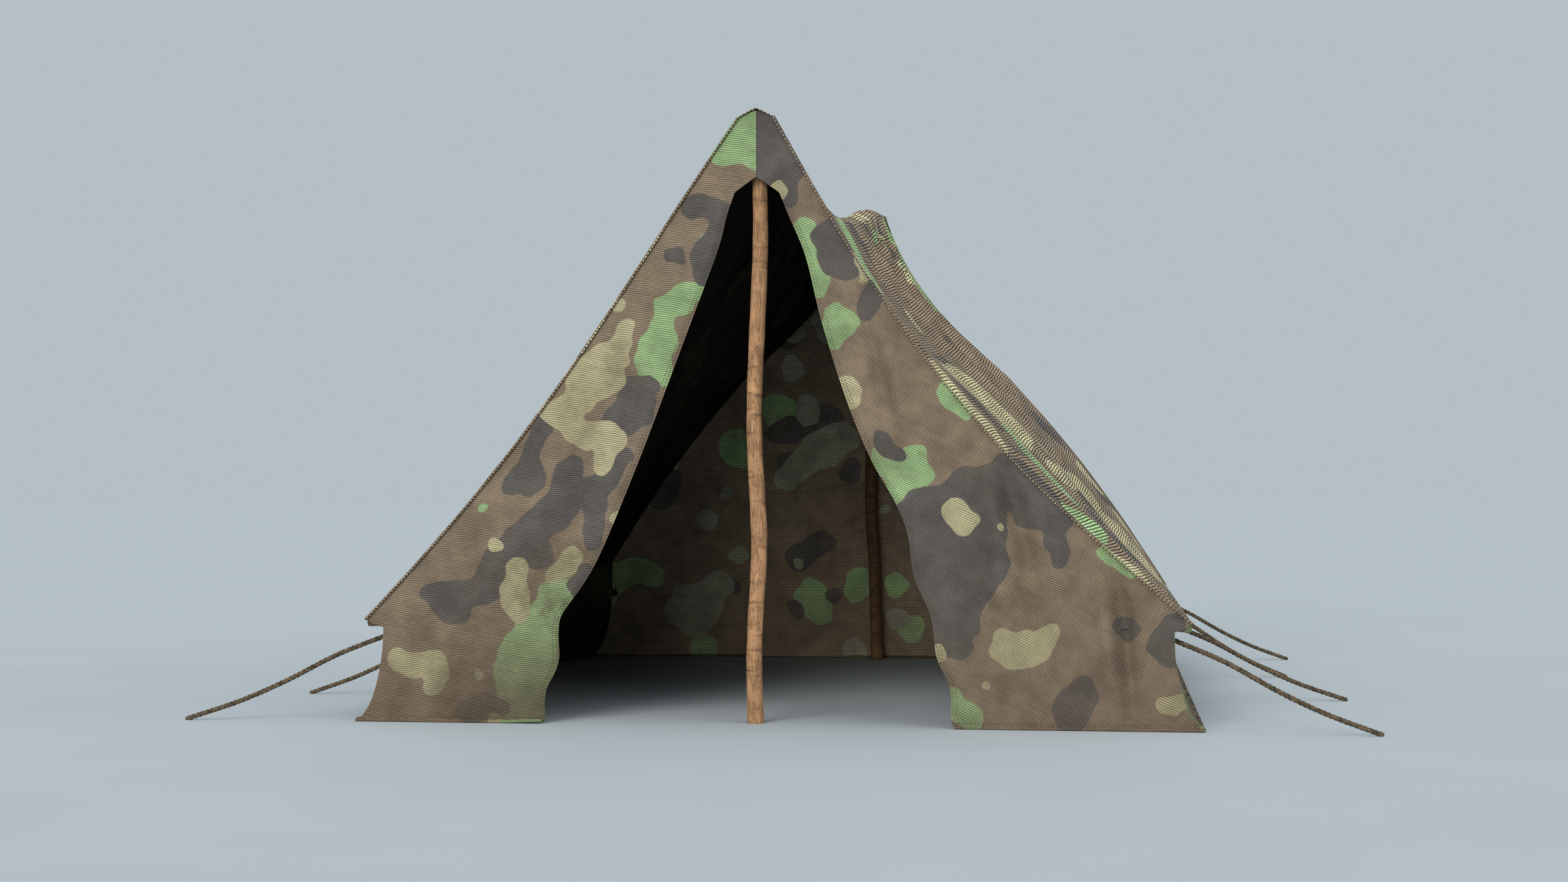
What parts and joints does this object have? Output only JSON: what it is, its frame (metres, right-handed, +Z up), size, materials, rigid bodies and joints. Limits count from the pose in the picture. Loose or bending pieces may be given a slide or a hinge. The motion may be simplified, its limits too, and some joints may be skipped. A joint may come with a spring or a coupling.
{
  "type": "ridge tent",
  "caption": "Camouflage canvas ridge tent on two branch poles, with low flared walls, an open gable doorway with two folding flaps, and guy ropes.",
  "frame": {"origin": "on the ground, in the middle of the tent's footprint", "axes": "+Z up, +Y from the doorway to the rear gable, +X to the right of someone who looks in at the doorway"},
  "size_m": [3.8618, 3.2166, 2.03],
  "materials": {
    "canvas": "matt woven cotton canvas in a camouflage print",
    "tape": "matt folded canvas tape",
    "pole_wood": "peeled branch, dry and cracked",
    "cup_leather": "moulded leather",
    "rope": "laid hemp rope",
    "eyelet_brass": "dull brass"
  },
  "bodies": {
    "tent": {"ridge_cap": "canvas", "rear_wall": "canvas", "roof_left": "canvas", "eave_hem_left": "canvas", "side_wall_left": "canvas", "wall_hem_left": "canvas", "front_panel_left": "canvas", "roof_right": "canvas", "eave_hem_right": "canvas", "side_wall_right": "canvas", "wall_hem_right": "canvas", "front_panel_right": "canvas", "rear_hem": "tape", "front_seam_tape": "tape", "gable_binding_front_left": "tape", "gable_binding_rear_left": "tape", "front_hem_left": "tape", "gable_binding_front_right": "tape", "gable_binding_rear_right": "tape", "front_hem_right": "tape", "front_pole": "pole_wood", "rear_pole": "pole_wood", "front_pole_cup": "cup_leather", "rear_pole_cup": "cup_leather", "guy_rope_left_1": "rope", "guy_rope_left_2": "rope", "guy_rope_left_3": "rope", "guy_rope_left_4": "rope", "guy_rope_right_1": "rope", "guy_rope_right_2": "rope", "guy_rope_right_3": "rope", "guy_rope_right_4": "rope", "guy_knot_left_1": "rope", "guy_knot_left_2": "rope", "guy_knot_left_3": "rope", "guy_knot_left_4": "rope", "guy_knot_right_1": "rope", "guy_knot_right_2": "rope", "guy_knot_right_3": "rope", "guy_knot_right_4": "rope", "wall_eyelet_left_1": "eyelet_brass", "wall_eyelet_left_2": "eyelet_brass", "wall_eyelet_left_3": "eyelet_brass", "wall_eyelet_left_4": "eyelet_brass", "wall_eyelet_right_1": "eyelet_brass", "wall_eyelet_right_2": "eyelet_brass", "wall_eyelet_right_3": "eyelet_brass", "wall_eyelet_right_4": "eyelet_brass"},
    "door_left": {"door_flap_left": "canvas", "door_binding_left": "tape", "door_hem_left": "tape"},
    "door_right": {"door_flap_right": "canvas", "door_binding_right": "tape", "door_hem_right": "tape"}
  },
  "joints": [
    {"name": "door_left_fold", "type": "hinge", "parent": "tent", "child": "door_left", "pos_m": [-1.2, -1.5285, 0], "axis": [-0.5344, 0, -0.8452], "range_deg": [-75, 120]},
    {"name": "door_right_fold", "type": "hinge", "parent": "tent", "child": "door_right", "pos_m": [1.17, -1.5285, 0], "axis": [-0.5482, 0, 0.8363], "range_deg": [-75, 120]}
  ]
}
